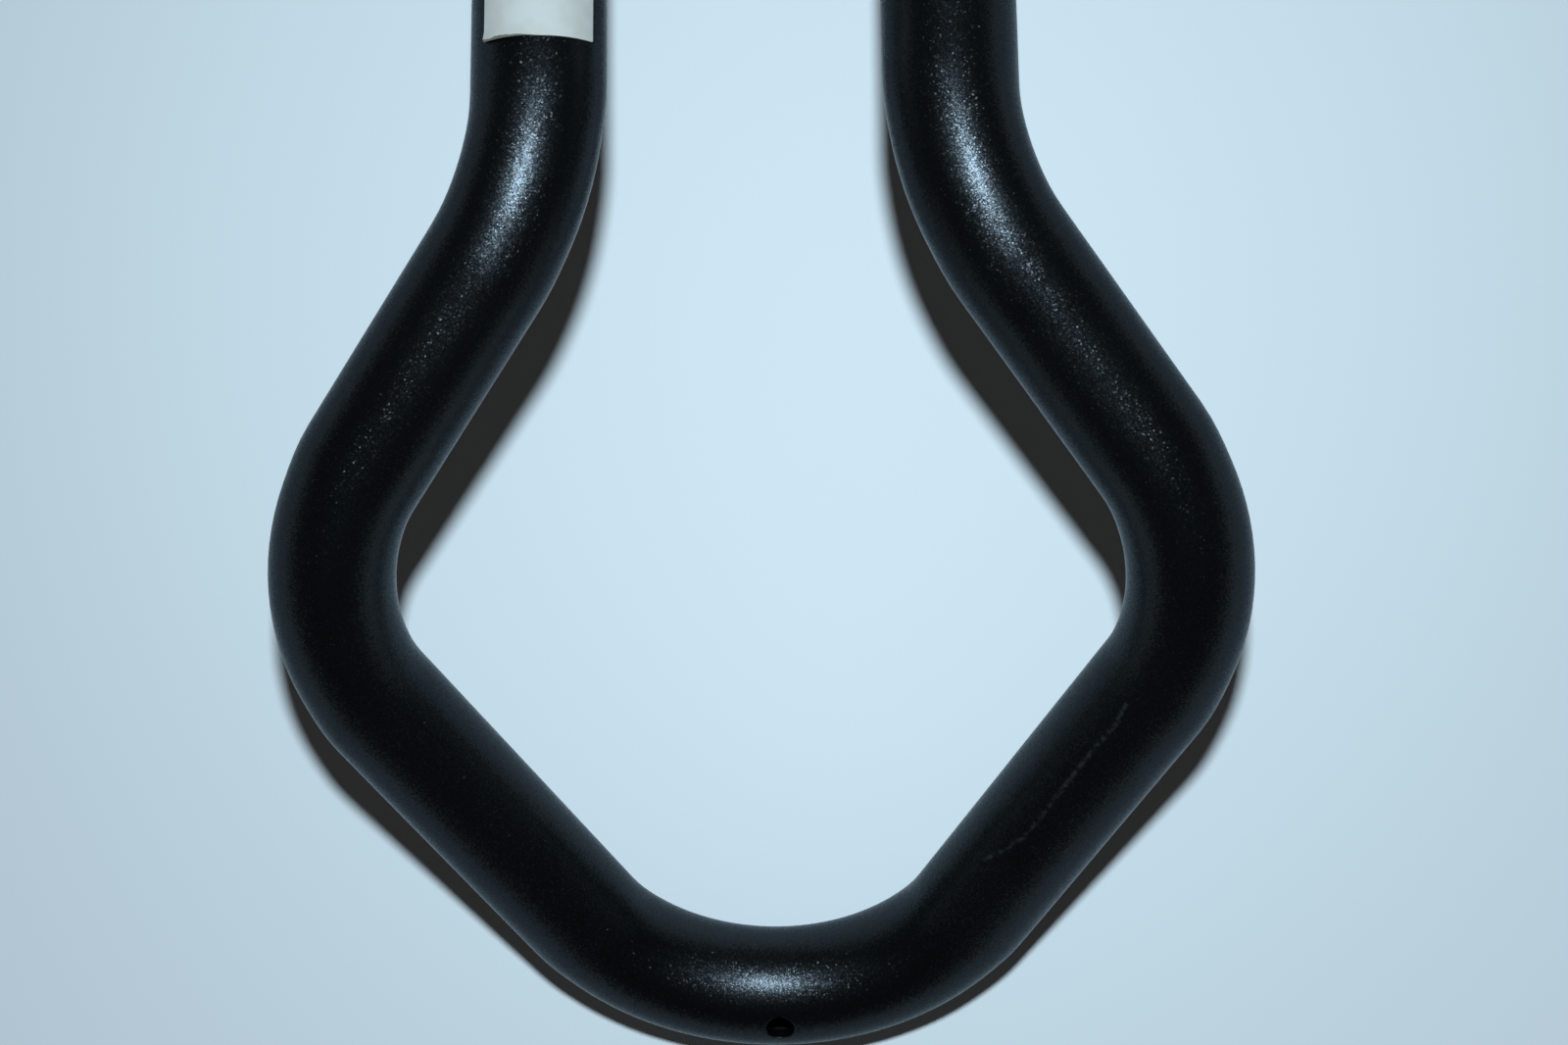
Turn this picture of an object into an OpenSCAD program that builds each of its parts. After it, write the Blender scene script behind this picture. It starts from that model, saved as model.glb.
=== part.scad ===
// Clip-on loop aerobar for a bicycle handlebar: one round tube, bent in one piece.
// From the front of the loop each half runs out along the side, turns in to a narrow
// waist and goes on as a straight leg that a clamp on the handlebar grips.
// It lies as it rests on a table: the front of the loop and both leg ends touch Z = 0.
// X = 0 is the plane of symmetry, and the legs point toward +Y.

/* [Tube] */
// Outer diameter of the tube
tube_d = 22.2; // [19:0.1:25.4]
// Thickness of the tube's wall in the straight runs
tube_wall = 2; // [1.2:0.1:3]
// How much slimmer the wall is in the bends, on its outside and on its inside
bend_draw = 0.03; // [0.01:0.01:0.05]
// Radius of the tube's axis in every bend, set by the bending die
bend_r = 42; // [38:1:46]

/* [Loop] */
// Angle of the front bend, from one side run round to the other
front_bend = 118; // [112:1:124]
// Slope of the plane in which the front bend lies
front_slope = 33.5; // [28:0.5:38]
// Length of the straight side run
side_run = 58; // [52:1:80]

/* [Waist and legs] */
// Angle by which each waist run heads in toward the middle, seen from above
waist_toe = 35; // [32:1:40]
// Slope of the waist run, up toward the legs
waist_rise = 10; // [4:0.5:16]
// Slope of the legs, down to the table
leg_fall = 19; // [15:0.5:26]
// Distance between the axes of the two legs
leg_spacing = 67; // [62:1:72]

/* [Details] */
// Diameter of the vent hole in the top of the front bend
vent_d = 5.2; // [3:0.1:8]
// Chamfer on both edges of each leg's cut end
end_chamfer = 0.4; // [0.2:0.1:0.5]

/* [Hidden] */
$fn = 96;

tube_r = tube_d / 2;
bore_r = tube_r - tube_wall;
bent_r = tube_r - bend_draw;
half_front = front_bend / 2;

// Length by which a straight run reaches into a bend, short enough to cover its wall there
overlap = 0.3;

// Heading of each straight run of the right half, from the front toward the leg's end
across = [1, 0, 0];
side_dir = [cos(half_front), sin(half_front) * cos(front_slope), sin(half_front) * sin(front_slope)];
waist_dir = [-sin(waist_toe) * cos(waist_rise), cos(waist_toe) * cos(waist_rise), sin(waist_rise)];
leg_dir = [0, cos(leg_fall), -sin(leg_fall)];

// Angle of the bend between two headings, and the direction from the tube's axis to the
// centre of that bend, where it starts and where it ends
function turn(d_in, d_out) = acos(d_in * d_out);
function inward_first(d_in, d_out) = (d_out - (d_in * d_out) * d_in) / sin(turn(d_in, d_out));
function inward_last(d_in, d_out) = ((d_in * d_out) * d_out - d_in) / sin(turn(d_in, d_out));

// Turn of the tube about its own axis between two bends, from heading d1 to d2 and d2 to d3
function roll(d1, d2, d3) =
    let (from = inward_last(d1, d2), to = inward_first(d2, d3))
    atan2(cross(from, to) * d2, from * to);

// Way along the axis from the start to the end of a bend
function bend_step(d_in, d_out) = bend_r * tan(turn(d_in, d_out) / 2) * (d_in + d_out);

shoulder_bend = turn(side_dir, waist_dir);
shoulder_roll = roll(across, side_dir, waist_dir);
neck_bend = turn(waist_dir, leg_dir);
neck_roll = roll(side_dir, waist_dir, leg_dir);

// Way from the front to the shoulder bend's end, and through the neck bend
shoulder_way = bend_step(across, side_dir) + side_run * side_dir + bend_step(side_dir, waist_dir);
neck_way = bend_step(waist_dir, leg_dir);

// The waist run is as long as it takes to bring the legs to their spacing
waist_run = (shoulder_way.x + neck_way.x - leg_spacing / 2) / -waist_dir.x;

// Each leg is as long as it takes for the lower edge of its cut end to reach the table
leg_top = shoulder_way + waist_run * waist_dir + neck_way + [0, 0, bent_r];
leg_end_z = tube_r * cos(leg_fall) - end_chamfer * sin(leg_fall);
leg_run = (leg_top.z - leg_end_z) / sin(leg_fall);

// Length of the whole bar along Y, which the origin halves
bar_y = bent_r + leg_top.y + leg_run * leg_dir.y + (tube_r - end_chamfer) * sin(leg_fall);

// A ring, the section of the tube, or of its slimmer wall in the bends
module section(draw = 0) {
    difference() {
        circle(r = tube_r - draw);
        circle(r = bore_r + draw);
    }
}

// Straight run from the origin along +Z, which overlaps the bends at both its ends
module straight(run) {
    translate([0, 0, -overlap]) linear_extrude(height = run + 2 * overlap) section();
}

// Bend that starts at the origin heading +Z and turns toward +X
module bend(angle) {
    translate([bend_r, 0, 0])
        rotate([90, 0, 180])
            rotate_extrude(angle = angle) translate([bend_r, 0]) section(bend_draw);
}

// Puts what follows at the end of a straight run or a bend, again heading +Z
module after_run(run) {
    translate([0, 0, run]) children();
}

module after_bend(angle) {
    translate([bend_r * (1 - cos(angle)), 0, bend_r * sin(angle)]) rotate([0, angle, 0]) children();
}

// Leg with both edges of its cut end chamfered
module leg() {
    rotate_extrude()
        polygon([
            [bore_r, -overlap],
            [tube_r, -overlap],
            [tube_r, leg_run - end_chamfer],
            [tube_r - end_chamfer, leg_run],
            [bore_r + end_chamfer, leg_run],
            [bore_r, leg_run - end_chamfer]
        ]);
}

// Everything behind the front bend on one side
module half() {
    straight(side_run);
    after_run(side_run) rotate([0, 0, shoulder_roll]) {
        bend(shoulder_bend);
        after_bend(shoulder_bend) {
            straight(waist_run);
            after_run(waist_run) rotate([0, 0, neck_roll]) {
                bend(neck_bend);
                after_bend(neck_bend) leg();
            }
        }
    }
}

// Front bend with the vent hole in its top, square to the plane of the bend
module front() {
    difference() {
        after_bend(-half_front) bend(front_bend);
        rotate([-90, 0, 0]) cylinder(d = vent_d, h = tube_d);
    }
}

// At the front the axis heads along +X, and the front bend turns up its slope
module at_front() {
    translate([0, bent_r - bar_y / 2, bent_r])
        rotate([front_slope, 0, 0])
            rotate([90, 0, 90])
                children();
}

module bent_tube() {
    color("#16181b")
        at_front() {
            front();
            after_bend(half_front) half();
            mirror([0, 0, 1]) after_bend(half_front) half();
        }
}

bent_tube();
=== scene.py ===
import math

import bmesh
import bpy
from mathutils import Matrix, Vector


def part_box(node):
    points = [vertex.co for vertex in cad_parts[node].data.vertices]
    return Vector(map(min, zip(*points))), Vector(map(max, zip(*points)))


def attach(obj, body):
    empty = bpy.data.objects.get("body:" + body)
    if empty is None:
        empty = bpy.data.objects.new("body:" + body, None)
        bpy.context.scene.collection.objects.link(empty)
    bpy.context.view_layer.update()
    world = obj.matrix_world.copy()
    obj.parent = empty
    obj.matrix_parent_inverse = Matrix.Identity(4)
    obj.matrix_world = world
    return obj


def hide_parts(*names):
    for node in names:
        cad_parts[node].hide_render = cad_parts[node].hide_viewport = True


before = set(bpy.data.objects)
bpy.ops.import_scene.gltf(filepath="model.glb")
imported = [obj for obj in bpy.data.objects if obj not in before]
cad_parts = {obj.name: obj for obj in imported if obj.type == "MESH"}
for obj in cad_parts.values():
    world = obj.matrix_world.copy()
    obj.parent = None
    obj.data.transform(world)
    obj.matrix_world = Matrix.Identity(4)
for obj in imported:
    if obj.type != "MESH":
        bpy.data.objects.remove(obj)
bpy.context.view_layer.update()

barLow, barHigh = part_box("bent_tube")
print("frame loaded, the bar is", round(barHigh.y - barLow.y, 4), "m long")

smoothAngle = math.radians(35)  # an edge sharper than this stays sharp
samePlace = 1e-5                # metres, points less far apart than this count as one


# small helpers that every piece uses

def deselectAll():
    bpy.ops.object.select_all(action="DESELECT")


def makeActive(piece):
    deselectAll()
    piece.select_set(True)
    bpy.context.view_layer.objects.active = piece


def startEditing(piece, mode):
    makeActive(piece)
    bpy.ops.object.mode_set(mode="EDIT")
    bpy.ops.mesh.select_mode(type=mode)


def stopEditing():
    bpy.ops.object.mode_set(mode="OBJECT")


def selectOnly(piece, kind, wanted):  # kind is verts, edges or faces
    shape = bmesh.from_edit_mesh(piece.data)
    bpy.ops.mesh.select_all(action="DESELECT")
    for item in getattr(shape, kind):
        if wanted(item):
            item.select_set(True)
    bmesh.update_edit_mesh(piece.data)


def applyPlace(piece):
    makeActive(piece)
    bpy.ops.object.transform_apply(location=True, rotation=True, scale=True)


def applyModifier(piece, kind, **settings):
    makeActive(piece)
    modifier = piece.modifiers.new(kind.lower(), kind)
    for name, value in settings.items():
        setattr(modifier, name, value)
    bpy.ops.object.modifier_apply(modifier=modifier.name)


def smoothStep(share):
    share = min(max(share, 0), 1)
    return (3 - 2 * share) * share * share


# the bent tube, one piece from leg end to leg end

tube = {
    "radius": 0.0111,           # outer radius
    "bentRadius": 0.01107,      # of the solid's bends, which sets how high the front lies
    "wall": 0.002,
    "bendRadius": 0.042,        # of the axis, the same in every bend
    "frontBend": 118,           # degrees, from one side run round to the other
    "frontSlope": 33.5,         # degrees, of the plane that the front bend lies in
    "sideRun": 0.058,
    "waistToe": 35,             # degrees, seen from above
    "waistRise": 10,
    "legFall": 19,
    "legSpacing": 0.067,        # between the axes of the legs
    "flattening": 0.035,        # how much narrower a bend is in its own plane
    "flatteningRun": 0.009,     # over which the section goes from round to flattened
    "aroundSteps": 96,
    "bendStep": 3,              # degrees between two rings in a bend
    "runStep": 0.004,           # between two rings in a straight run
    "weld": 1e-6,               # points of the two halves closer than this are merged
    "endEdge": 0.0004,          # rounding of the edges of the leg ends, which meet the floor
    "edgeSegments": 3,
    "ventHole": 0.0052,         # diameter
    "ventSteps": 48,
    "ventEdge": 0.00025,        # rounding of the coated edge of the hole
    "ventWeld": 0.00012,        # points of that edge closer than this are merged first
}


def runHeadings():
    half = math.radians(tube["frontBend"] / 2)
    slope = math.radians(tube["frontSlope"])
    toe = math.radians(tube["waistToe"])
    rise = math.radians(tube["waistRise"])
    fall = math.radians(tube["legFall"])
    across = Vector((1, 0, 0))
    side = Vector((math.cos(half), math.sin(half) * math.cos(slope), math.sin(half) * math.sin(slope)))
    waist = Vector((-math.sin(toe) * math.cos(rise), math.cos(toe) * math.cos(rise), math.sin(rise)))
    leg = Vector((0, math.cos(fall), -math.sin(fall)))
    return across, side, waist, leg


def bendWay(headingIn, headingOut):
    turn = headingIn.angle(headingOut)
    return (headingIn + headingOut) * tube["bendRadius"] * math.tan(turn / 2)


def runLengths(frontMiddle):
    across, side, waist, leg = runHeadings()
    toWaist = bendWay(across, side) + side * tube["sideRun"] + bendWay(side, waist)
    neck = bendWay(waist, leg)
    waistRun = (toWaist.x + neck.x - tube["legSpacing"] / 2) / -waist.x
    legTop = frontMiddle + toWaist + waist * waistRun + neck
    fall = math.radians(tube["legFall"])
    edge = tube["endEdge"]
    endHeight = (tube["radius"] - edge) * math.cos(fall) + edge * (1 - math.sin(fall))
    return tube["sideRun"], waistRun, (legTop.z - endHeight) / math.sin(fall)


def walkHalf(frontMiddle):
    # the right half as bends and straight runs, each with its start, its heading and its way
    # along the axis, and then where its leg ends and how long the half is
    headings = runHeadings()
    centre = frontMiddle.copy()
    along = 0
    stretches = []
    for index, run in enumerate(runLengths(frontMiddle)):
        headingIn, headingOut = headings[index], headings[index + 1]
        turn = headingIn.angle(headingOut)
        inward = (headingOut - headingIn * headingIn.dot(headingOut)).normalized()
        middle = centre + inward * tube["bendRadius"]
        stretches.append({"kind": "bend", "from": centre.copy(), "heading": headingIn, "inward": inward,
                          "middle": middle, "turn": turn, "along": along})
        centre = middle + (headingIn * math.sin(turn) - inward * math.cos(turn)) * tube["bendRadius"]
        along += turn * tube["bendRadius"]
        stretches.append({"kind": "run", "from": centre.copy(), "heading": headingOut, "length": run,
                          "along": along})
        centre = centre + headingOut * run
        along += run
    return stretches, centre, along


frontMiddle = Vector((0, barLow.y + tube["bentRadius"], barLow.z + tube["bentRadius"]))
stretches, rightLegEnd, halfWay = walkHalf(frontMiddle)
frontSlope = math.radians(tube["frontSlope"])
frontNormal = Vector((0, -math.sin(frontSlope), math.cos(frontSlope)))


def placeOnAxis(point):
    # the nearest place on the axis to a point of the right half: its centre, its heading and its
    # way along, and in a bend the direction into it and a share that grows from 0 at its ends to 1
    best = None
    tie = 1e-7  # metres, so that the first of two stretches counts where they meet
    for stretch in stretches:
        start, heading = stretch["from"], stretch["heading"]
        if stretch["kind"] == "bend":
            inward, radius = stretch["inward"], tube["bendRadius"]
            arm = point - stretch["middle"]
            angle = math.atan2(arm.dot(heading), -arm.dot(inward))
            angle = min(max(angle, 0), stretch["turn"])
            centre = stretch["middle"] + (heading * math.sin(angle) - inward * math.cos(angle)) * radius
            towards = heading * math.cos(angle) + inward * math.sin(angle)
            into = inward * math.cos(angle) - heading * math.sin(angle)
            along = stretch["along"] + angle * radius
            fromEnd = min(angle, stretch["turn"] - angle) * radius
            if stretch["along"] == 0:  # the front bend goes on past the middle
                fromEnd = (stretch["turn"] - angle) * radius
            share = min(fromEnd / tube["flatteningRun"], 1)
        else:
            way = min(max((point - start).dot(heading), 0), stretch["length"])
            centre = start + heading * way
            towards = heading
            into = None
            along = stretch["along"] + way
            share = 0
        distance = (point - centre).length
        if best is None or distance < best["distance"] - tie:
            best = {"distance": distance, "centre": centre, "towards": towards, "into": into,
                    "along": along, "share": share}
    return best


def onCoat(point):
    # a point on the coat's own map: metres along the axis from the middle of the front, and
    # radians round from the top, outward, both of them less than 0 on the left half
    side = -1 if point.x < 0 else 1
    mirrored = Vector((side * point.x, point.y, point.z))
    place = placeOnAxis(mirrored)
    towards = place["towards"]
    arm = mirrored - place["centre"]
    up = (Vector((0, 0, 1)) - towards * towards.z).normalized()
    around = math.atan2(arm.dot(towards.cross(up)), arm.dot(up))
    return side * place["along"], side * around


def sweepTube():
    bpy.ops.mesh.primitive_circle_add(vertices=tube["aroundSteps"], radius=tube["radius"],
                                      location=frontMiddle, rotation=(0, math.radians(90), 0))
    bar = bpy.context.object
    bar.name = "bar_tube"
    bar.data.name = "bar_tube"
    applyPlace(bar)
    startEditing(bar, "EDGE")
    bpy.ops.mesh.select_all(action="SELECT")
    for stretch in stretches:
        if stretch["kind"] == "bend":
            steps = math.ceil(math.degrees(stretch["turn"]) / tube["bendStep"])
            axis = stretch["heading"].cross(stretch["inward"])
            bpy.ops.mesh.spin(steps=steps, angle=-stretch["turn"], center=stretch["middle"], axis=axis,
                              use_auto_merge=False)
        else:
            steps = math.ceil(stretch["length"] / tube["runStep"])
            step = stretch["heading"] * (stretch["length"] / steps)
            for index in range(steps):
                bpy.ops.mesh.extrude_region_move(TRANSFORM_OT_translate={"value": step})
    stopEditing()
    return bar


def flattenBends(bar):
    # a bent tube is a little narrower in the plane of its bend, and the change fades in at both ends
    for vertex in bar.data.vertices:
        place = placeOnAxis(vertex.co)
        into = place["into"]
        if into is not None:
            squeeze = tube["flattening"] * smoothStep(place["share"])
            vertex.co -= into * (vertex.co - place["centre"]).dot(into) * squeeze


def unrollCoat(bar):
    # the coat's UV map is in metres: u along the axis, v round from the top
    layer = bar.data.uv_layers.new(name="coat")
    perVertex = [onCoat(vertex.co) for vertex in bar.data.vertices]
    for face in bar.data.polygons:
        values = [perVertex[index] for index in face.vertices]
        over = max(value[1] for value in values) - min(value[1] for value in values) > math.pi
        for loop, (along, around) in zip(face.loop_indices, values):
            if over and around < 0:
                around += 2 * math.pi
            layer.data[loop].uv = (along, around * tube["radius"])


def drillVent(bar):
    rimSlack = 2e-5     # metres, how far off the drill's wall a point of the rim may lie
    rimHeight = 0.9     # share of the tube's radius that the upper rim is at least high
    bpy.ops.mesh.primitive_cylinder_add(vertices=tube["ventSteps"], radius=tube["ventHole"] / 2,
                                        depth=2 * tube["radius"],
                                        location=frontMiddle + frontNormal * tube["radius"])
    drill = bpy.context.object
    drill.rotation_euler = (frontSlope, 0, 0)
    applyPlace(drill)
    applyModifier(bar, "BOOLEAN", operation="DIFFERENCE", object=drill, solver="EXACT")
    bpy.data.objects.remove(drill, do_unlink=True)

    def onRim(edge):
        for vertex in edge.verts:
            arm = vertex.co - frontMiddle
            height = arm.dot(frontNormal)
            if abs((arm - frontNormal * height).length - tube["ventHole"] / 2) > rimSlack:
                return False
            if height < rimHeight * tube["radius"]:
                return False
        return True

    startEditing(bar, "EDGE")
    selectOnly(bar, "edges", onRim)
    bpy.ops.mesh.remove_doubles(threshold=tube["ventWeld"])
    selectOnly(bar, "edges", onRim)
    bpy.ops.mesh.bevel(offset=tube["ventEdge"], segments=tube["edgeSegments"], affect="EDGES")
    stopEditing()


def roundLegEnds(bar):
    legHeading = stretches[-1]["heading"]
    sameCircle = 1e-4   # metres, between the radii of two points on the same circle

    def onEndCircle(edge):
        radii = []
        for vertex in edge.verts:
            arm = Vector((abs(vertex.co.x), vertex.co.y, vertex.co.z)) - rightLegEnd
            if abs(arm.dot(legHeading)) > samePlace:
                return False
            radii.append(arm.length)
        return abs(radii[0] - radii[1]) < sameCircle

    startEditing(bar, "EDGE")
    selectOnly(bar, "edges", onEndCircle)
    bpy.ops.mesh.bevel(offset=tube["endEdge"], segments=tube["edgeSegments"], affect="EDGES")
    stopEditing()


def makeTube():
    bar = sweepTube()
    flattenBends(bar)
    applyModifier(bar, "MIRROR", use_axis=(True, False, False), use_clip=False,
                  merge_threshold=samePlace)
    startEditing(bar, "VERT")
    bpy.ops.mesh.select_all(action="SELECT")
    bpy.ops.mesh.remove_doubles(threshold=tube["weld"])
    bpy.ops.mesh.normals_make_consistent(inside=False)
    stopEditing()
    unrollCoat(bar)
    applyModifier(bar, "SOLIDIFY", thickness=tube["wall"], offset=-1, use_even_offset=True,
                  use_rim=True)
    drillVent(bar)
    roundLegEnds(bar)
    makeActive(bar)
    bpy.ops.object.shade_smooth_by_angle(angle=smoothAngle)
    print("tube swept:", len(bar.data.polygons), "faces")
    return bar


bar = makeTube()
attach(bar, "root")
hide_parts("bent_tube")


# the paper label on the left leg, bare, with its lower edge come a little loose

label = {
    "start": 0.2252,            # of its lower edge, along the axis from the middle of the front
    "length": 0.038,
    "inner": -58.75,            # degrees round from the top, toward the other leg
    "outer": 45.5,
    "paper": 0.00012,           # thickness
    "bow": 2.2e-7,              # metres per degree squared, by which the lower edge curves away
    "bowMiddle": 5,             # degrees
    "lift": 0.00035,            # off the coat, at the loose edge
    "liftRun": 0.0022,
    "liftSpread": 14,           # degrees from its middle over which the edge comes loose
    "aroundSteps": 144,
    "step": 0.001,
    "corner": 0.0004,
    "looseCorner": 0.0011,
    "cornerSegments": 4,
    "cornerReach": 2,           # degrees from a side edge within which its corners lie
}


def onLeftLeg(point):  # way past the leg's start, and degrees round from the top, outward
    leg = stretches[-1]
    arm = Vector((-point.x, point.y, point.z)) - leg["from"]
    way = arm.dot(leg["heading"])
    up = (Vector((0, 0, 1)) - leg["heading"] * leg["heading"].z).normalized()
    return way, math.degrees(math.atan2(arm.dot(leg["heading"].cross(up)), arm.dot(up)))


def cutLabel():
    leg = stretches[-1]
    slack = 0.1     # degrees
    start = leg["from"] + leg["heading"] * (label["start"] - leg["along"])
    start.x = -start.x
    bpy.ops.mesh.primitive_circle_add(vertices=label["aroundSteps"], radius=tube["radius"],
                                      location=start,
                                      rotation=(-math.radians(90 + tube["legFall"]), 0, 0))
    sheet = bpy.context.object
    sheet.name = "leg_label"
    sheet.data.name = "leg_label"
    applyPlace(sheet)

    def isBeside(vertex):
        around = onLeftLeg(vertex.co)[1]
        return around < label["inner"] - slack or around > label["outer"] + slack

    startEditing(sheet, "VERT")
    selectOnly(sheet, "verts", isBeside)
    bpy.ops.mesh.delete(type="VERT")
    bpy.ops.mesh.select_mode(type="EDGE")
    bpy.ops.mesh.select_all(action="SELECT")
    step = leg["heading"] * label["step"]
    for index in range(round(label["length"] / label["step"])):
        bpy.ops.mesh.extrude_region_move(TRANSFORM_OT_translate={"value": step})
    stopEditing()
    return sheet


def roundCorners(sheet, loose, size):  # loose is True for the loose corner alone
    leg = stretches[-1]
    lowWay = label["start"] - leg["along"]

    def isCorner(vertex):
        way, around = onLeftLeg(vertex.co)
        atSide = min(around - label["inner"], label["outer"] - around) < label["cornerReach"]
        atEnd = min(way - lowWay, lowWay + label["length"] - way) < samePlace
        isLoose = way - lowWay < samePlace and label["outer"] - around < label["cornerReach"]
        return atSide and atEnd and isLoose == loose

    startEditing(sheet, "VERT")
    selectOnly(sheet, "verts", isCorner)
    bpy.ops.mesh.bevel(offset=size, segments=label["cornerSegments"], affect="VERTICES")
    stopEditing()


def settleLabel(sheet):
    # the lower edge bows, and its outer half stands off the coat
    leg = stretches[-1]
    lowWay = label["start"] - leg["along"]
    middle = (label["inner"] + label["outer"]) / 2
    layer = sheet.data.uv_layers.new(name="sheet")
    perVertex = []
    for vertex in sheet.data.vertices:
        way, around = onLeftLeg(vertex.co)
        centre = leg["from"] + leg["heading"] * way
        centre.x = -centre.x
        outward = (vertex.co - centre).normalized()
        fromEdge = way - lowWay
        outer = smoothStep((around - middle) / label["liftSpread"])
        loose = smoothStep(1 - fromEdge / label["liftRun"]) * outer
        vertex.co += outward * label["lift"] * loose
        vertex.co += leg["heading"] * label["bow"] * (around - label["bowMiddle"]) ** 2
        perVertex.append((fromEdge, math.radians(around) * tube["radius"]))
    for loop in sheet.data.loops:
        layer.data[loop.index].uv = perVertex[loop.vertex_index]


def makeLabel():
    sheet = cutLabel()
    roundCorners(sheet, False, label["corner"])
    roundCorners(sheet, True, label["looseCorner"])
    settleLabel(sheet)
    leg = stretches[-1]
    face = sheet.data.polygons[len(sheet.data.polygons) // 2]
    way = onLeftLeg(face.center)[0]
    centre = leg["from"] + leg["heading"] * way
    outward = face.center - Vector((-centre.x, centre.y, centre.z))
    startEditing(sheet, "FACE")
    bpy.ops.mesh.select_all(action="SELECT")
    if face.normal.dot(outward) < 0:
        bpy.ops.mesh.flip_normals()
    stopEditing()
    applyModifier(sheet, "SOLIDIFY", thickness=label["paper"], offset=1, use_even_offset=True,
                  use_rim=True)
    makeActive(sheet)
    bpy.ops.object.shade_smooth_by_angle(angle=smoothAngle)
    print("label cut:", len(sheet.data.polygons), "faces")
    return sheet


sheet = makeLabel()
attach(sheet, "root")


# floor, lights and camera

stage = {
    "floorSize": 40.0,
    "floorColour": (0.80, 0.81, 0.80, 1),
    "floorRoughness": 0.6,
    "farColour": (0.45, 0.56, 0.63, 1),     # of the floor out of the lamp's reach, and the horizon
    "farFrom": (0.15, 0.7),                 # metres over which the floor goes over to it
    "lampPlace": (0.0272, 0.0580, 0.6237),
    "lampTarget": (0.01, -0.12, 0.0),
    "lampSize": 0.03,
    "lampSpread": 120,                      # degrees, of its beam
    "lampPower": 1.8,
    "lampColour": (0.67, 0.86, 1.0),
    "skyColour": (0.0270, 0.0250, 0.0245, 1),   # of the dim surroundings overhead
    "skyBand": 0.18,                        # height, as a sine, over which the horizon goes over
    "cameraPlace": (0.02144, -0.0480, 0.55313),
    "cameraTurn": (-3.489, 1.902, -1.392),  # degrees
    "cameraLens": 67.5,
    "cameraNear": 0.01,                     # where its view starts
}


def makeFloor():
    # its far glow is for the camera and for reflections alone, and lights nothing
    bpy.ops.mesh.primitive_plane_add(size=stage["floorSize"], location=(0, 0, 0))
    floor = bpy.context.object
    floor.name = "floor"
    material, tree, shader = newMaterial("pale_floor")
    place = addNode(tree, "ShaderNodeTexCoord").outputs["Object"]
    away = vectorMath(tree, "LENGTH", {0: place}, "Value")
    rays = addNode(tree, "ShaderNodeLightPath").outputs
    seen = mathNode(tree, "ADD", rays["Is Camera Ray"], rays["Is Glossy Ray"])
    seen = mathNode(tree, "ADD", seen, rays["Is Transmission Ray"])
    glow = mathNode(tree, "MULTIPLY", fade(tree, away, *stage["farFrom"], 0, 1), seen)
    tree.links.new(glow, shader.inputs["Emission Strength"])
    shader.inputs["Emission Color"].default_value = stage["farColour"]
    shader.inputs["Base Color"].default_value = stage["floorColour"]
    shader.inputs["Roughness"].default_value = stage["floorRoughness"]
    material.cycles.emission_sampling = "NONE"
    floor.data.materials.append(material)


def makeLamp():
    place = Vector(stage["lampPlace"])
    bpy.ops.object.light_add(type="AREA", location=place)
    lamp = bpy.context.object
    lamp.name = "key_lamp"
    lamp.data.shape = "DISK"
    lamp.data.size = stage["lampSize"]
    lamp.data.spread = math.radians(stage["lampSpread"])
    lamp.data.energy = stage["lampPower"]
    lamp.data.color = stage["lampColour"]
    lamp.rotation_euler = (Vector(stage["lampTarget"]) - place).to_track_quat("-Z", "Y").to_euler()


def makeSky():
    world = bpy.data.worlds.new("studio")
    bpy.context.scene.world = world
    world.use_nodes = True
    tree = world.node_tree
    background = tree.nodes["Background"]
    place = addNode(tree, "ShaderNodeTexCoord")
    split = addNode(tree, "ShaderNodeSeparateXYZ", {"Vector": place.outputs["Generated"]})
    height = fade(tree, split.outputs["Z"], 0, stage["skyBand"], 0, 1)
    colour = mixColours(tree, height, stage["farColour"], stage["skyColour"])
    tree.links.new(colour, background.inputs["Color"])


def makeCamera():
    bpy.ops.object.camera_add(location=stage["cameraPlace"],
                              rotation=[math.radians(angle) for angle in stage["cameraTurn"]])
    camera = bpy.context.object
    camera.data.lens = stage["cameraLens"]
    camera.data.clip_start = stage["cameraNear"]
    bpy.context.scene.camera = camera


# helpers for materials

def addNode(tree, kind, inputs=None, **settings):
    node = tree.nodes.new(kind)
    for name, value in settings.items():
        setattr(node, name, value)
    for name, value in (inputs or {}).items():
        if isinstance(value, bpy.types.NodeSocket):
            tree.links.new(value, node.inputs[name])
        else:
            node.inputs[name].default_value = value
    return node


def fade(tree, value, start, end, first, last, kind="SMOOTHSTEP"):  # first at start, last at end
    limits = {"Value": value, "From Min": start, "From Max": end, "To Min": first, "To Max": last}
    return addNode(tree, "ShaderNodeMapRange", limits, interpolation_type=kind).outputs["Result"]


def mathNode(tree, operation, first, second):
    return addNode(tree, "ShaderNodeMath", {0: first, 1: second}, operation=operation).outputs["Value"]


def vectorMath(tree, operation, inputs, output="Vector"):
    return addNode(tree, "ShaderNodeVectorMath", inputs, operation=operation).outputs[output]


def noise(tree, place, scale, detail=2.0):
    return addNode(tree, "ShaderNodeTexNoise",
                   {"Vector": place, "Scale": scale, "Detail": detail}).outputs["Fac"]


def mixColours(tree, share, first, second):
    node = addNode(tree, "ShaderNodeMix", {"Factor": share}, data_type="RGBA")
    for socket, value in ((node.inputs[6], first), (node.inputs[7], second)):
        if isinstance(value, bpy.types.NodeSocket):
            tree.links.new(value, socket)
        else:
            socket.default_value = value
    return node.outputs[2]


def newMaterial(name):
    material = bpy.data.materials.new(name)
    material.use_nodes = True
    return material, material.node_tree, material.node_tree.nodes["Principled BSDF"]


makeFloor()
makeLamp()
makeSky()
makeCamera()
bpy.context.scene.view_settings.view_transform = "Standard"
print("floor, lamp, sky and camera are in place")


# the coat: satin black, finely grained, a little scuffed and dusty

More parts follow.
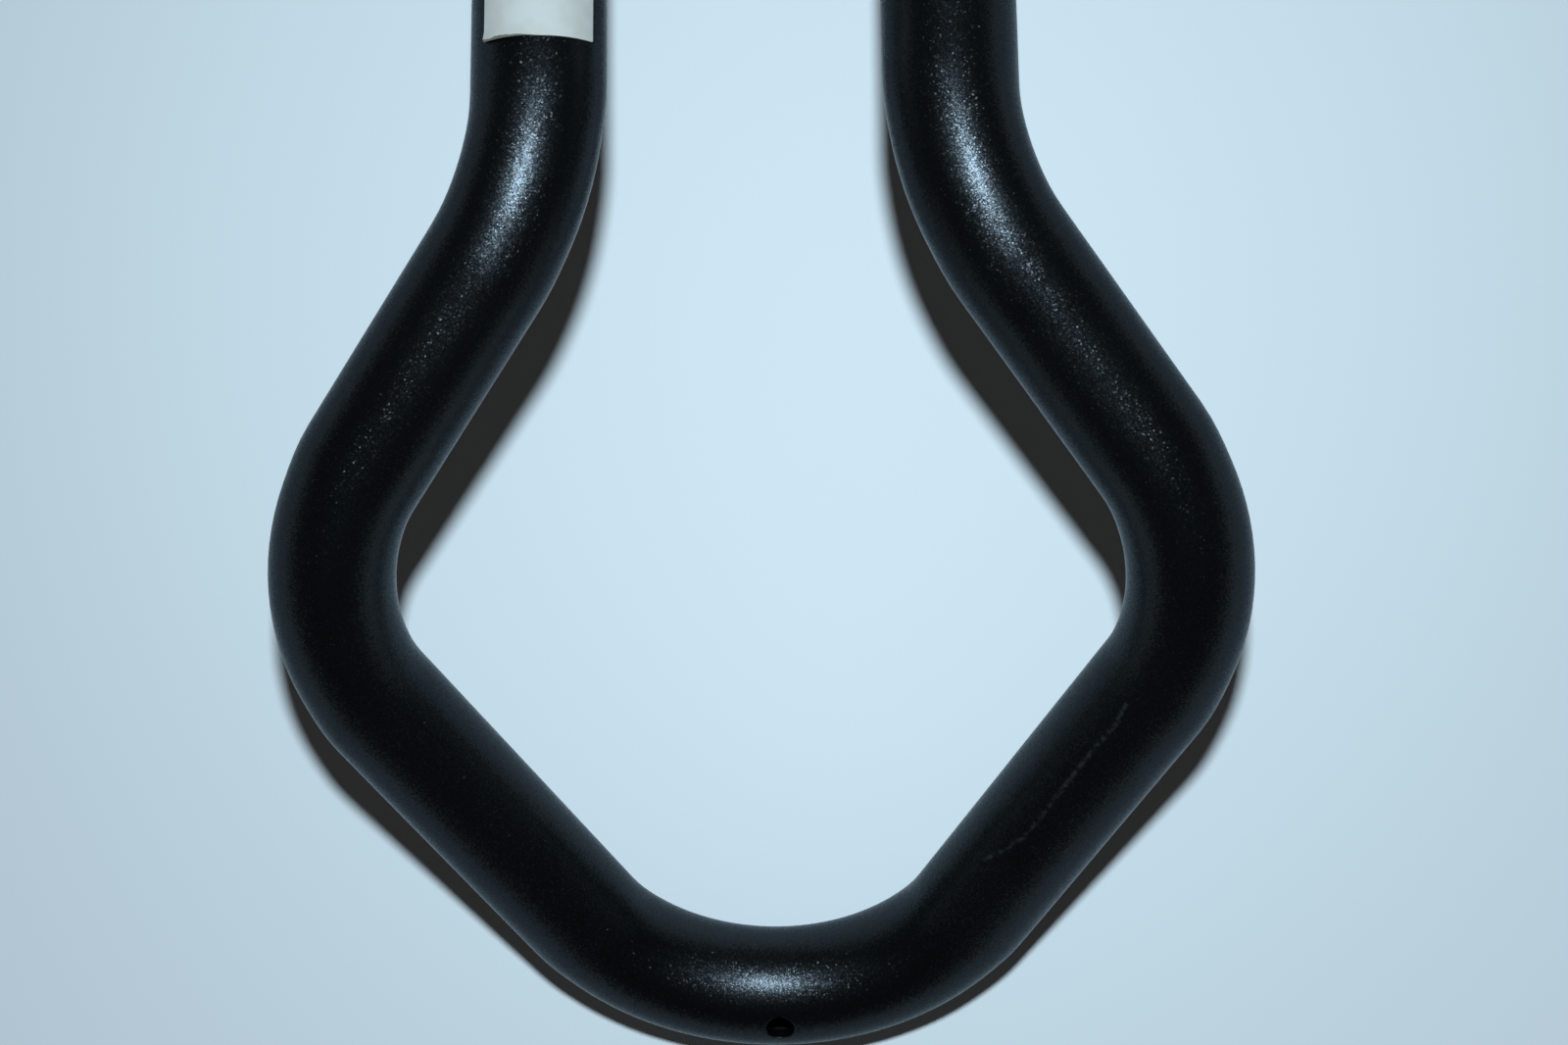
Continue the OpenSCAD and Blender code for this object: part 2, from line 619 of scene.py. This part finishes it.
coat = {
    "colour": (0.0200, 0.0226, 0.0250, 1),
    "edgeColour": (0.56, 0.595, 0.63, 1),   # tint of what it reflects at a grazing angle
    "metallic": 0.95,
    "roughness": (0.275, 0.315),    # lowest and highest, in slow patches
    "patchScale": 60,               # patches per metre
    "patchRange": (0.35, 0.65),     # of the noise, from the smoothest to the roughest
    "sparkle": 0.050,
    "sparkleRoughness": 0.34,
    "sparkleIor": 2.5,              # high, so that it hardly widens the rims
    "flakeScale": 3600,             # facets that sparkle, each with its own tilt
    "flakeTilt": 0.9,
    "flakeLean": 1.5,               # the higher, the fewer facets are much tilted
    "fineScale": 6000,              # facets of the ground
    "fineTilt": 0.40,
    "fineLean": 1.0,
    "peelScale": 320,               # slow unevenness of the coat
    "peelDetail": 1.0,
    "peelDepth": 0.00002,
    "dustScale": 120,
    "dustSize": 0.022,
    "dustEdge": 0.006,
    "dustColour": (0.10, 0.11, 0.12, 1),
    "speckColour": (1, 1, 1, 1),
    "speckCore": 0.4,               # share of a speck's size within which it is brightest
    "wornRoughness": 0.3,           # added where it is scuffed or dusty
}

scuff = {
    "start": 0.0575,                # along the right side
    "end": 0.1055,
    "endFade": 0.003,
    "low": -0.0065,                 # metres round from the top, less than 0 toward the inside
    "high": 0.0,
    "path": [(0.0, -0.0061), (0.02, -0.0058), (0.14, -0.0037), (0.25, -0.0023), (0.35, -0.0025),
             (0.53, -0.0026), (0.66, -0.0028), (0.85, -0.0026), (0.97, -0.0036), (1.0, -0.0040)],
    "width": 0.0017,
    "colour": (0.015, 0.017, 0.021, 1),
    "breakScale": 900,              # of the noise that breaks it up
    "breakRange": (0.35, 0.62),
    "strength": (0.1, 0.6),         # where it is weakest and strongest
}

specks = [                          # metres along, metres round from the top, size, brightness
    (-0.0864, 0.0040, 0.00036, 0.10),
    (-0.0501, 0.0041, 0.00026, 0.05),
    (-0.0433, 0.00375, 0.00022, 0.35),
    (-0.0959, -0.0014, 0.00020, 0.04),
]


def tiltOfFacets(tree, place, scale, tilt, lean):
    # the random colour of a facet, less the middle grey, is its tilt
    middleGrey = (0.5, 0.5, 0.5)
    cells = addNode(tree, "ShaderNodeTexVoronoi", {"Vector": place, "Scale": scale})
    tilts = vectorMath(tree, "SUBTRACT", {0: cells.outputs["Color"], 1: middleGrey})
    size = mathNode(tree, "POWER", vectorMath(tree, "LENGTH", {0: tilts}, "Value"), lean)
    return vectorMath(tree, "SCALE", {0: tilts, "Scale": mathNode(tree, "MULTIPLY", size, tilt)})


def tiltedNormal(tree, normal, tilts):
    return vectorMath(tree, "NORMALIZE", {0: vectorMath(tree, "ADD", {0: normal, 1: tilts})})


def grainOfCoat(tree, place):
    # the even ground of the coat, and the sparse facets in it that sparkle
    peel = noise(tree, place, coat["peelScale"], coat["peelDetail"])
    bump = addNode(tree, "ShaderNodeBump", {"Height": peel, "Distance": coat["peelDepth"]})
    normal = bump.outputs["Normal"]
    fine = tiltOfFacets(tree, place, coat["fineScale"], coat["fineTilt"], coat["fineLean"])
    flakes = tiltOfFacets(tree, place, coat["flakeScale"], coat["flakeTilt"], coat["flakeLean"])
    return tiltedNormal(tree, normal, fine), tiltedNormal(tree, normal, flakes)


def scuffMask(tree, along, around):
    # a curve gives the scuff's middle, round from the top, for each place along the side
    low, high = scuff["low"], scuff["high"]
    start, end, endFade = scuff["start"], scuff["end"], scuff["endFade"]
    share = fade(tree, along, start, end, 0, 1, "LINEAR")
    curve = addNode(tree, "ShaderNodeFloatCurve", {"Value": share})
    points = curve.mapping.curves[0].points
    while len(points) < len(scuff["path"]):
        points.new(0.5, 0.5)
    for point, (way, height) in zip(points, scuff["path"]):
        point.location = (way, (height - low) / (high - low))
        point.handle_type = "VECTOR"
    curve.mapping.update()
    middle = fade(tree, curve.outputs["Value"], 0, 1, low, high, "LINEAR")
    aside = mathNode(tree, "ABSOLUTE", mathNode(tree, "SUBTRACT", around, middle), 0.0)
    stroke = fade(tree, aside, 0, scuff["width"] / 2, 1, 0)
    ends = mathNode(tree, "MULTIPLY", fade(tree, along, start, start + endFade, 0, 1),
                    fade(tree, along, end - endFade, end, 1, 0))
    return mathNode(tree, "MULTIPLY", stroke, ends)


def speckMask(tree, flat):
    total = None
    for along, around, size, brightness in specks:
        away = vectorMath(tree, "DISTANCE", {0: flat, 1: (along, around, 0)}, "Value")
        spot = fade(tree, away, size * coat["speckCore"], size, brightness, 0)
        total = spot if total is None else mathNode(tree, "MAXIMUM", total, spot)
    return total


def dustMask(tree, place):
    dust = addNode(tree, "ShaderNodeTexVoronoi", {"Vector": place, "Scale": coat["dustScale"]})
    split = addNode(tree, "ShaderNodeSeparateColor", {"Color": dust.outputs["Color"]})
    size = mathNode(tree, "MULTIPLY", split.outputs["Red"], coat["dustSize"])
    inside = mathNode(tree, "SUBTRACT", size, dust.outputs["Distance"])
    return fade(tree, inside, 0, coat["dustEdge"], 0, 1)


def makeCoat():
    material, tree, shader = newMaterial("black_coat")
    place = addNode(tree, "ShaderNodeTexCoord").outputs["Object"]
    flat = addNode(tree, "ShaderNodeUVMap", uv_map="coat").outputs["UV"]
    split = addNode(tree, "ShaderNodeSeparateXYZ", {"Vector": flat})
    patches = noise(tree, place, coat["patchScale"])
    roughness = fade(tree, patches, *coat["patchRange"], *coat["roughness"])
    broken = noise(tree, place, scuff["breakScale"])
    broken = fade(tree, broken, *scuff["breakRange"], *scuff["strength"])
    scuffed = mathNode(tree, "MULTIPLY", scuffMask(tree, split.outputs["X"], split.outputs["Y"]), broken)
    dusty = dustMask(tree, place)
    colour = mixColours(tree, scuffed, coat["colour"], scuff["colour"])
    colour = mixColours(tree, dusty, colour, coat["dustColour"])
    colour = mixColours(tree, speckMask(tree, flat), colour, coat["speckColour"])
    tree.links.new(colour, shader.inputs["Base Color"])
    worn = mathNode(tree, "MAXIMUM", scuffed, dusty)
    roughness = mathNode(tree, "ADD", roughness, mathNode(tree, "MULTIPLY", worn, coat["wornRoughness"]))
    tree.links.new(fade(tree, worn, 0, 1, coat["metallic"], 0), shader.inputs["Metallic"])
    tree.links.new(roughness, shader.inputs["Roughness"])
    ground, sparkle = grainOfCoat(tree, place)
    tree.links.new(ground, shader.inputs["Normal"])
    tree.links.new(sparkle, shader.inputs["Coat Normal"])
    shader.inputs["Coat Weight"].default_value = coat["sparkle"]
    shader.inputs["Coat Roughness"].default_value = coat["sparkleRoughness"]
    shader.inputs["Coat IOR"].default_value = coat["sparkleIor"]
    shader.inputs["Specular Tint"].default_value = coat["edgeColour"]
    return material


# inside the tube: dull bare metal, dusted with black near the open ends

bore = {
    "metal": (0.30, 0.30, 0.29, 1),
    "overspray": (0.010, 0.0105, 0.011, 1),
    "mouth": 0.006,                 # black as far as this from the leg's end
    "vent": 0.03,                   # and as far as this from the vent hole
    "fadeRun": 0.03,
    "speckleScale": 1500,           # of the noise in the border between the two
    "speckle": 0.5,
    "speckleRange": (0.5, 1.1),
    "roughness": (0.45, 0.6),
    "patchScale": 400,
    "patchRange": (0.3, 0.7),
    "depth": 0.9,                   # share of the wall below which a face lies inside
}


def makeBoreFinish():
    material, tree, shader = newMaterial("bore_finish")
    place = addNode(tree, "ShaderNodeTexCoord").outputs["Object"]
    flat = addNode(tree, "ShaderNodeUVMap", uv_map="coat").outputs["UV"]
    split = addNode(tree, "ShaderNodeSeparateXYZ", {"Vector": flat})
    fromVent = mathNode(tree, "ABSOLUTE", split.outputs["X"], 0.0)
    fromEnd = mathNode(tree, "SUBTRACT", halfWay, fromVent)
    pastEnd = fade(tree, fromEnd, bore["mouth"], bore["mouth"] + bore["fadeRun"], 0, 1)
    pastVent = fade(tree, fromVent, bore["vent"], bore["vent"] + bore["fadeRun"], 0, 1)
    bare = mathNode(tree, "MULTIPLY", pastEnd, pastVent)
    speckles = mathNode(tree, "MULTIPLY", noise(tree, place, bore["speckleScale"]), bore["speckle"])
    bare = fade(tree, mathNode(tree, "ADD", bare, speckles), *bore["speckleRange"], 0, 1)
    colour = mixColours(tree, bare, bore["overspray"], bore["metal"])
    tree.links.new(colour, shader.inputs["Base Color"])
    tree.links.new(bare, shader.inputs["Metallic"])
    patches = noise(tree, place, bore["patchScale"])
    roughness = fade(tree, patches, *bore["patchRange"], *bore["roughness"])
    tree.links.new(roughness, shader.inputs["Roughness"])
    return material


def coatBore(bar):
    def isInside(face):
        middle = face.calc_center_median()
        centre = placeOnAxis(Vector((abs(middle.x), middle.y, middle.z)))["centre"]
        centre.x = math.copysign(centre.x, middle.x)
        return (middle - centre).length < tube["radius"] - bore["depth"] * tube["wall"]

    startEditing(bar, "FACE")
    selectOnly(bar, "faces", isInside)
    bar.active_material_index = 1
    bpy.ops.object.material_slot_assign()
    stopEditing()


# the label's paper

paper = {
    "colour": (0.585, 0.567, 0.523, 1),
    "shade": (0.54, 0.515, 0.455, 1),
    "cloudScale": 220,
    "cloudRange": (0.35, 0.7),      # of the noise, from colour to shade
    # adhesive dirt along the lower edge, and painted shade where the loose lip stands off the coat
    "dirtAndLiftShade": (0.14, 0.135, 0.10, 1),
    "thinEdge": 0.0001,             # width of the dark edge, of dirt and painted shade, where the label holds
    "looseEdge": 0.0005,            # and where it is loose, with the painted shade of the lifted lip
    "edgeTurn": (-0.001, 0.006),    # round from the top, where it goes from one to the other
    "raggedScale": 500,
    "raggedRange": (0.3, 0.7),
    "ragged": (0.7, 1.3),           # least and most, as shares of the dark edge's width
    "dirtAndLiftShadeFade": (0.7, 1.2),        # shares of that width, too
    "fibreScale": 5200,
    "fibreDetail": 3.0,
    "fibreDepth": 0.00002,
    "fibreStrength": 0.6,
    "roughness": 0.62,
}


def makePaper():
    material, tree, shader = newMaterial("label_paper")
    place = addNode(tree, "ShaderNodeTexCoord").outputs["Object"]
    flat = addNode(tree, "ShaderNodeUVMap", uv_map="sheet").outputs["UV"]
    split = addNode(tree, "ShaderNodeSeparateXYZ", {"Vector": flat})
    clouds = fade(tree, noise(tree, place, paper["cloudScale"]), *paper["cloudRange"], 0, 1)
    colour = mixColours(tree, clouds, paper["colour"], paper["shade"])
    # the dark edge is partly dirt and partly painted shade, and it is widest where the edge is loose
    width = fade(tree, split.outputs["Y"], *paper["edgeTurn"], paper["thinEdge"], paper["looseEdge"])
    ragged = noise(tree, place, paper["raggedScale"])
    width = mathNode(tree, "MULTIPLY", width, fade(tree, ragged, *paper["raggedRange"], *paper["ragged"]))
    dirtAndShadeShare = mathNode(tree, "DIVIDE", split.outputs["X"], width)
    dirtAndShadeShare = fade(tree, dirtAndShadeShare, *paper["dirtAndLiftShadeFade"], 1, 0)
    colour = mixColours(tree, dirtAndShadeShare, colour, paper["dirtAndLiftShade"])
    tree.links.new(colour, shader.inputs["Base Color"])
    fibres = noise(tree, place, paper["fibreScale"], paper["fibreDetail"])
    bump = addNode(tree, "ShaderNodeBump", {"Height": fibres, "Distance": paper["fibreDepth"],
                                            "Strength": paper["fibreStrength"]})
    tree.links.new(bump.outputs["Normal"], shader.inputs["Normal"])
    shader.inputs["Roughness"].default_value = paper["roughness"]
    return material


bar.data.materials.clear()
bar.data.materials.append(makeCoat())
bar.data.materials.append(makeBoreFinish())
coatBore(bar)
sheet.data.materials.append(makePaper())
print("coat, bore finish and paper are on")
